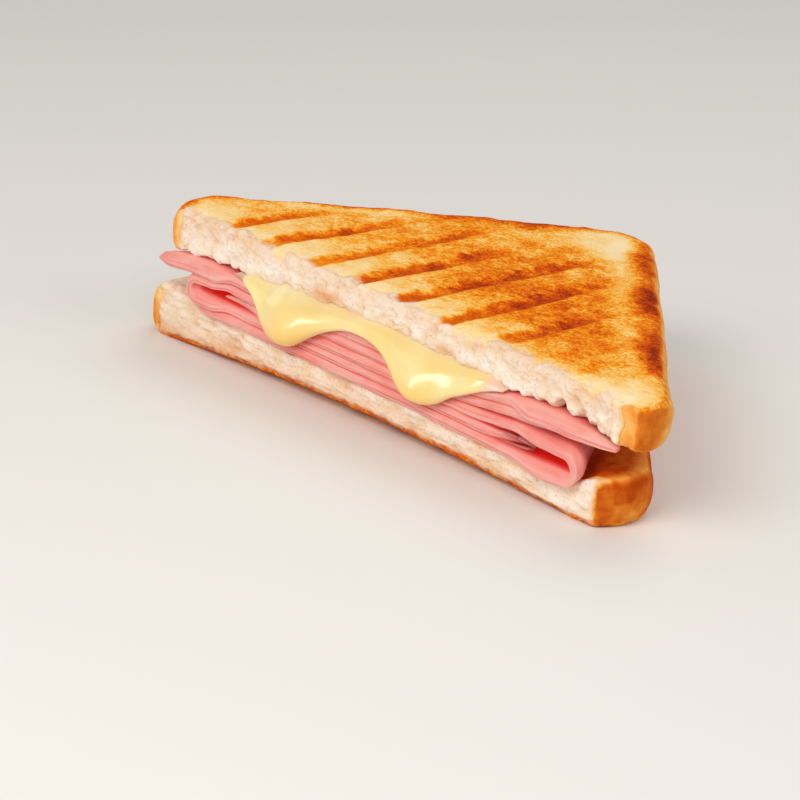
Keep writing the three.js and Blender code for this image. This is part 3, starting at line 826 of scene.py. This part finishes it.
class Graph:
    """Adds nodes to one tree. Any input takes a socket or a plain value."""

    def __init__(self, tree):
        self.tree = tree

    def feed(self, socket, value):
        """Links a socket, or sets a plain value."""
        if isinstance(value, bpy.types.NodeSocket):
            self.tree.links.new(value, socket)
        else:
            socket.default_value = value

    def node(self, kind, inputs=None, **settings):
        """A new node with these settings, its inputs fed by name."""
        made = self.tree.nodes.new(kind)
        for key, value in settings.items():
            setattr(made, key, value)
        for key, value in (inputs or {}).items():
            self.feed(made.inputs[key], value)
        return made

    def math(self, operation, *values):
        """One sum on numbers or sockets, by the name of its operation."""
        made = self.node("ShaderNodeMath", operation=operation)
        for socket, value in zip(made.inputs, values):
            self.feed(socket, value)
        return made.outputs[0]

    def add(self, total, *terms):
        """The first value with all the others added."""
        for term in terms:
            total = self.math("ADD", total, term)
        return total

    def times(self, a, b):
        """The product of two values."""
        return self.math("MULTIPLY", a, b)

    def ease(self, value, low, high):
        """A smooth step from 0 at low to 1 at high. low may be the larger, which turns it over."""
        made = self.node("ShaderNodeMapRange", {"Value": value, "From Min": low, "From Max": high},
                         interpolation_type="SMOOTHSTEP")
        return made.outputs[0]

    def blend(self, share, a, b):
        """Colour a at share 0 and colour b at 1."""
        made = self.node("ShaderNodeMix", data_type="RGBA")
        for index, value in ((0, share), (6, a), (7, b)):
            self.feed(made.inputs[index], value)
        return made.outputs[2]

    def attribute(self, name):
        """A number that the mesh holds for each point."""
        return self.node("ShaderNodeAttribute", attribute_name=name).outputs["Fac"]

    def millimetres(self):
        """Object coordinates in mm."""
        place = self.node("ShaderNodeTexCoord").outputs["Object"]
        scaled = self.node("ShaderNodeVectorMath", operation="SCALE")
        self.feed(scaled.inputs[0], place)
        self.feed(scaled.inputs["Scale"], 1 / MM)
        return scaled.outputs[0]

    def ramp(self, value, stops):
        """A colour for a value, from stops of place and screen colour."""
        made = self.node("ShaderNodeValToRGB")
        elements = made.color_ramp.elements
        for place, _ in stops[2:]:
            elements.new(place)
        for element, (place, colour) in zip(elements, stops):
            element.position = place
            element.color = srgb(*colour)
        self.feed(made.inputs[0], value)
        return made.outputs[0]

    def mottle(self, vector, size, low, high, detail=2.0):
        """The mottle group's mask."""
        return self.node("ShaderNodeGroup", {"Vector": vector, "Size": size, "Low": low, "High": high,
                                             "Detail": detail}, node_tree=MOTTLE).outputs["Mask"]

    def grain(self, vector, size, height):
        """The grain group's height in mm."""
        return self.node("ShaderNodeGroup", {"Vector": vector, "Size": size, "Height": height},
                         node_tree=GRAIN).outputs["Height"]


def new_group(name, inputs, outputs):
    """An empty shader group with these sockets, and the graph, inputs and outputs to fill it with."""
    tree = bpy.data.node_groups.new(name, "ShaderNodeTree")
    for socket, kind, value in inputs:
        made = tree.interface.new_socket(socket, in_out="INPUT", socket_type=kind)
        if value is not None:
            made.default_value = value
    for socket in outputs:
        tree.interface.new_socket(socket, in_out="OUTPUT", socket_type="NodeSocketFloat")
    graph = Graph(tree)
    return tree, graph, graph.node("NodeGroupInput").outputs, graph.node("NodeGroupOutput").inputs


def make_mottle():
    """Cloudy patches of a given size in mm: noise eased between Low and High."""
    tree, g, given, put = new_group("mottle", [
        ("Vector", "NodeSocketVector", None), ("Size", "NodeSocketFloat", 5.0),
        ("Detail", "NodeSocketFloat", 2.0), ("Low", "NodeSocketFloat", 0.4),
        ("High", "NodeSocketFloat", 0.6)], ["Mask"])
    noise = g.node("ShaderNodeTexNoise", {
        "Vector": given["Vector"], "Scale": g.math("DIVIDE", 1.0, given["Size"]), "Detail": given["Detail"]})
    g.feed(put["Mask"], g.ease(noise.outputs["Fac"], given["Low"], given["High"]))
    return tree


def make_grain():
    """A fine uneven surface: heights in mm from two sizes of noise, the second a third of the first."""
    tree, g, given, put = new_group("fine_grain", [
        ("Vector", "NodeSocketVector", None), ("Size", "NodeSocketFloat", 1.0),
        ("Height", "NodeSocketFloat", 0.1)], ["Height"])
    scale = g.math("DIVIDE", 1.0, given["Size"])
    coarse = g.node("ShaderNodeTexNoise", {"Vector": given["Vector"], "Scale": scale, "Detail": 2.0})
    fine = g.node("ShaderNodeTexNoise", {
        "Vector": given["Vector"], "Scale": g.times(scale, 3.0), "Detail": 1.0})
    both = g.add(coarse.outputs["Fac"], g.times(fine.outputs["Fac"], 0.5))
    g.feed(put["Height"], g.times(both, given["Height"]))
    return tree


MOTTLE, GRAIN = make_mottle(), make_grain()


def new_material(name):
    """An empty material, with its graph and its shader's inputs."""
    made = bpy.data.materials.new(name)
    made.use_nodes = True
    return made, Graph(made.node_tree), made.node_tree.nodes["Principled BSDF"].inputs


def set_values(shader, **values):
    """Plain numbers on a shader's sockets. Their names have spaces where the keys have underscores."""
    for key, value in values.items():
        shader[key.replace("_", " ")].default_value = value


def set_bump(graph, shader, height):
    """Feeds a height in mm to the shader's normal."""
    bump = graph.node("ShaderNodeBump", {"Height": height, "Distance": MM, "Strength": 1.0})
    graph.feed(shader["Normal"], bump.outputs["Normal"])


# Colours by how brown the toast and the crust are.
TOAST_COLOURS = [
    (0.0, (255, 228, 178)), (0.14, (254, 210, 132)), (0.28, (251, 178, 62)), (0.42, (243, 143, 16)),
    (0.56, (229, 109, 2)), (0.70, (206, 82, 1)), (0.84, (184, 60, 1)), (1.0, (136, 40, 2))]
CRUST_COLOURS = [
    (0.1, (252, 212, 146)), (0.36, (242, 168, 78)), (0.52, (224, 124, 36)), (0.72, (192, 76, 8)),
    (1.0, (120, 42, 6))]


def toasted_bread():
    """Open crumb, grilled skin with bar marks, and smooth baked crust, parted by the slices' attributes."""
    material, g, shader = new_material("toasted_bread")
    at = g.millimetres()
    skin, crusted = g.attribute("skin"), g.attribute("crust")
    heat, bars, raised = g.attribute("browned"), g.attribute("bars"), g.attribute("raised")

    def centred(size, swing):
        """Patches from minus to plus half of swing."""
        return g.times(g.math("SUBTRACT", g.mottle(at, size, 0.3, 0.7), 0.5), swing)

    # Bars: distance across the nearest one, ragged on its left side and cleaner on its right.
    parts = g.node("ShaderNodeSeparateXYZ", {"Vector": at}).outputs
    depth = g.math("SUBTRACT", parts["Y"], CUT_Y)
    lean = g.times(depth, g.add(g.times(parts["X"], MARK_FAN), -MARK_LEAN))
    across = g.math("WRAP", g.add(parts["X"], -MARK_FIRST_X, lean), MARK_PITCH / 2, -MARK_PITCH / 2)
    left = g.ease(g.add(across, centred(2.8, 1.4), centred(1.0, 0.7)), -3.8, -0.8)
    right = g.ease(g.add(across, centred(1.2, 0.8)), 3.1, 1.4)
    bar = g.times(g.times(left, right), bars)
    bar_heat = g.times(g.times(bar, g.math("SUBTRACT", 1.0, heat)), g.add(0.54, centred(6, 0.26)))

    # Mottling is strong where the toast is brown and faint where it is pale.
    mottled = g.add(centred(0.6, 0.24), centred(1.3, 0.18), centred(5.5, 0.24))
    mottled = g.times(mottled, g.ease(heat, -0.15, 0.45))
    toast = g.ramp(g.add(heat, mottled, bar_heat), TOAST_COLOURS)
    crust = g.ramp(g.add(heat, centred(6, 0.16), centred(1.6, 0.08)), CRUST_COLOURS)

    # Crumb: pale, with a painted highlight whitest on its nubs and painted shade darker down in its pores,
    # and warmer where the heat reached it.
    cream, nub_highlight, pore = srgb(248, 224, 196), srgb(255, 247, 238), srgb(228, 184, 144)
    crumb = g.blend(g.mottle(at, 7, 0.35, 0.65), srgb(252, 238, 220), cream)
    crumb = g.blend(g.times(g.ease(raised, 0.1, 0.55), 0.6), crumb, nub_highlight)
    crumb = g.blend(g.times(g.ease(raised, 0.2, -0.6), 0.7), crumb, pore)
    crumb = g.blend(g.times(g.mottle(at, 0.9, 0.58, 0.7), 0.42), crumb, srgb(216, 168, 124))
    crumb = g.blend(g.times(heat, 0.85), crumb, srgb(228, 164, 102))

    waver = centred(2.2, 1.8)
    on_toast = g.ease(g.add(skin, waver), -0.3, 3.2)
    colour = g.blend(on_toast, crumb, toast)
    colour = g.blend(g.ease(g.add(crusted, g.times(waver, 0.12)), 0.2, 0.8), colour, crust)
    g.feed(shader["Base Color"], colour)
    g.feed(shader["Roughness"], g.add(0.66, g.times(g.mottle(at, 2.5, 0.3, 0.7), 0.16)))
    set_values(shader, Specular_IOR_Level=0.05, Subsurface_Weight=0.12, Subsurface_Radius=(1.0, 0.6, 0.3),
               Subsurface_Scale=0.0015)
    crumb_height = g.times(g.grain(at, 0.7, 0.3), g.math("SUBTRACT", 1.0, on_toast))
    set_bump(g, shader, g.add(g.grain(at, 0.9, 0.16), crumb_height))
    return material


def cooked_ham():
    """Moist pink meat with long fibres along its cut edge, with painted shade and a painted red glow between
    its slices.
    """
    material, g, shader = new_material("cooked_ham")
    at = g.millimetres()
    along, across, inward = g.attribute("along"), g.attribute("across"), g.attribute("inward")
    # A fibre is about 14 mm long, and much finer across the cut edge than inwards.
    strand = g.node("ShaderNodeCombineXYZ", {
        "X": g.math("DIVIDE", along, 14.0), "Y": g.math("DIVIDE", inward, 2.5),
        "Z": g.math("DIVIDE", across, 0.42)}).outputs[0]
    fibres = g.mottle(strand, 1.0, 0.35, 0.68, 3.0)
    clouds = g.mottle(at, 8.0, 0.35, 0.65)
    base = g.blend(clouds, srgb(243, 164, 154), srgb(237, 142, 134))
    base = g.blend(g.times(fibres, 0.45), base, srgb(250, 200, 188))
    # Painted shade: darker red along the crease that wanders along the nose.
    base = g.blend(g.times(g.attribute("crease"), 0.6), base, srgb(214, 84, 80))
    # Painted shade: the gaps between slices are coloured deep red, and the folds' mouths deeper red still,
    # standing in for the shade there and for light coming through the thin meat.
    mouth = g.attribute("mouth")
    between = g.times(g.ease(inward, -0.6, 2.6), g.ease(inward, 20.0, 6.0))
    base = g.blend(g.times(between, 0.85), base, srgb(206, 62, 52))
    g.feed(shader["Base Color"], g.blend(mouth, base, srgb(216, 40, 30)))
    # Painted light: the mouths glow red, and the flanks where the cut edges lie against each other glow
    # faintly, standing in for light through the meat and lifting the shade in the gaps.
    flank = g.times(g.ease(g.math("ABSOLUTE", across), 0.78, 1.02), g.ease(inward, -2.0, -0.8))
    faint_glow = g.blend(g.times(flank, g.ease(inward, 4.0, 1.5)), (0, 0, 0, 1), srgb(142, 60, 54))
    g.feed(shader["Emission Color"], g.blend(mouth, faint_glow, srgb(190, 34, 26)))
    g.feed(shader["Roughness"], g.add(0.36, g.times(clouds, 0.14)))
    set_values(shader, Emission_Strength=0.35, Specular_IOR_Level=0.45, Subsurface_Weight=0.4,
               Subsurface_Radius=(1.0, 0.35, 0.25), Subsurface_Scale=0.003)
    set_bump(g, shader, g.add(g.grain(at, 1.1, 0.05), g.times(fibres, 0.12)))
    return material


def molten_cheese():
    """Glossy soft yellow, deeper in the heavy drips, paler at the bread and pinkish where it is thin."""
    material, g, shader = new_material("molten_cheese")
    at = g.millimetres()
    fall, thick = g.attribute("fall"), g.attribute("thick")
    clouds = g.mottle(at, 9.0, 0.35, 0.65, 1.0)
    base = g.blend(clouds, srgb(255, 228, 160), srgb(255, 220, 142))
    heavy = g.times(g.ease(thick, 1.6, 3.8), g.ease(fall, 0.3, 0.8))
    base = g.blend(g.times(heavy, 0.6), base, srgb(255, 200, 86))
    base = g.blend(g.times(g.ease(fall, 0.2, 0.0), 0.5), base, srgb(255, 226, 184))
    g.feed(shader["Base Color"], g.blend(g.ease(thick, 1.2, 0.5), base, srgb(255, 206, 184)))
    g.feed(shader["Roughness"], g.add(0.28, g.times(clouds, 0.06)))
    set_values(shader, Subsurface_Weight=0.3, Subsurface_Radius=(1.0, 0.7, 0.3), Subsurface_Scale=0.003,
               Coat_Weight=0.7, Coat_Roughness=0.12)
    set_bump(g, shader, g.grain(at, 3.0, 0.03))
    return material


def build_sandwich():
    """The two slices of bread, the ham and the cheese."""
    bread = toasted_bread()
    bread_slice("bread_lower", LOWER, floor_z, arch_z, toasted=-1, skin=(1.4, 3), heat=under_heat,
                pore=(2.2, 1.3, 0.75), seed=60, material=bread)
    bread_slice("bread_upper", UPPER, toasted_top_z, torn_ceiling_z, toasted=1, skin=(0.3, 1), heat=top_heat,
                pore=(1.1, 1.1, 1), seed=80, material=bread)
    ham_slices(cooked_ham())
    melted_cheese("cheese", molten_cheese())


# ---- Floor, light and camera ----
CAMERA_AZIMUTH, CAMERA_ELEVATION, CAMERA_ROLL = np.radians([46.9, 19.3, 4.0])
CAMERA_DISTANCE = 575
CAMERA_TARGET = np.array([0, CUT_Y + 27.1, 14.95])
CAMERA_ASIDE = np.array([16.4, 12.1])  # how far the target stands right of and above the picture's middle
PICTURE_WIDTH = 800
FOCAL_PIXELS = 2641
SENSOR_WIDTH = 36
FLOOR_HALF = 3.0  # half the floor's side, in metres
LAMP_AIM = Vector((0, 0, 0.015))

# Lamps: direction in degrees, azimuth 0 being square to the cut, then distance, width and height in metres,
# power and colour.
LAMPS = {
    "key": (10, 38, 0.75, 0.5, 0.4, 3.1, (1.0, 0.97, 0.92)),
    "side": (105, 30, 0.9, 0.5, 0.5, 1.4, (1.0, 0.97, 0.93)),
    "glint_right": (60, 36, 0.8, 0.22, 0.1, 0.6, (1.0, 0.98, 0.95)),
    "glint_front": (-31, 7, 0.8, 0.05, 0.2, 0.42, (1.0, 0.98, 0.95)),
    "left": (-80, 18, 0.9, 0.3, 0.4, 0.35, (1.0, 0.98, 0.95)),
    "rear": (200, 55, 0.9, 0.6, 0.6, 2.2, (1.0, 0.98, 0.96)),
}


def add_camera():
    """The camera stands back from its target along its azimuth and elevation, rolled, and moved aside."""
    ca, sa = np.cos(CAMERA_AZIMUTH), np.sin(CAMERA_AZIMUTH)
    ce, se = np.cos(CAMERA_ELEVATION), np.sin(CAMERA_ELEVATION)
    cr, sr = np.cos(CAMERA_ROLL), np.sin(CAMERA_ROLL)
    back = np.array([sa * ce, -ca * ce, se])
    level = np.array([ca, sa, 0])
    upright = np.cross(back, level)
    right, up = cr * level + sr * upright, cr * upright - sr * level
    eye = CAMERA_TARGET + back * CAMERA_DISTANCE - right * CAMERA_ASIDE[0] - up * CAMERA_ASIDE[1]
    data = bpy.data.cameras.new("camera")
    data.sensor_width = SENSOR_WIDTH
    data.lens = SENSOR_WIDTH * FOCAL_PIXELS / PICTURE_WIDTH
    data.clip_start, data.clip_end = 0.01, 20
    camera = bpy.data.objects.new("camera", data)
    turn = Matrix(np.stack([right, up, back], 1).tolist()).to_4x4()
    camera.matrix_world = Matrix.Translation(Vector(eye * MM)) @ turn
    bpy.context.scene.collection.objects.link(camera)
    bpy.context.scene.camera = camera


def add_soft_light(name, azimuth, elevation, distance, width, height, power, colour):
    """A flat lamp aimed at the sandwich."""
    a, e = np.radians([azimuth, elevation])
    towards = Vector((np.sin(a) * np.cos(e), -np.cos(a) * np.cos(e), np.sin(e)))
    data = bpy.data.lights.new(name, "AREA")
    data.shape = "RECTANGLE"
    data.size = width
    data.size_y = height
    data.energy = power
    data.color = colour
    lamp = bpy.data.objects.new(name, data)
    lamp.location = LAMP_AIM + towards * distance
    lamp.rotation_mode = "QUATERNION"
    lamp.rotation_quaternion = towards.to_track_quat("Z", "Y")
    lamp.visible_camera = False
    bpy.context.scene.collection.objects.link(lamp)


def add_studio():
    """A pale floor, a dim sky and the lamps."""
    corners = [(-FLOOR_HALF, -FLOOR_HALF, 0), (FLOOR_HALF, -FLOOR_HALF, 0), (FLOOR_HALF, FLOOR_HALF, 0),
               (-FLOOR_HALF, FLOOR_HALF, 0)]
    mesh = bpy.data.meshes.new("floor")
    mesh.from_pydata(corners, [], [(0, 1, 2, 3)])
    paint, _, shader = new_material("pale_floor")
    set_values(shader, Base_Color=srgb(236, 234, 230), Roughness=0.7)
    mesh.materials.append(paint)
    floor = bpy.data.objects.new("floor", mesh)
    bpy.context.scene.collection.objects.link(floor)

    world = bpy.data.worlds.new("studio")
    world.use_nodes = True
    sky = world.node_tree.nodes["Background"].inputs
    set_values(sky, Color=(1.0, 0.98, 0.96, 1), Strength=0.3)
    bpy.context.scene.world = world
    for name, lamp in LAMPS.items():
        add_soft_light(name, *lamp)
    bpy.context.scene.view_settings.view_transform = "Standard"


add_camera()
add_studio()
build_sandwich()
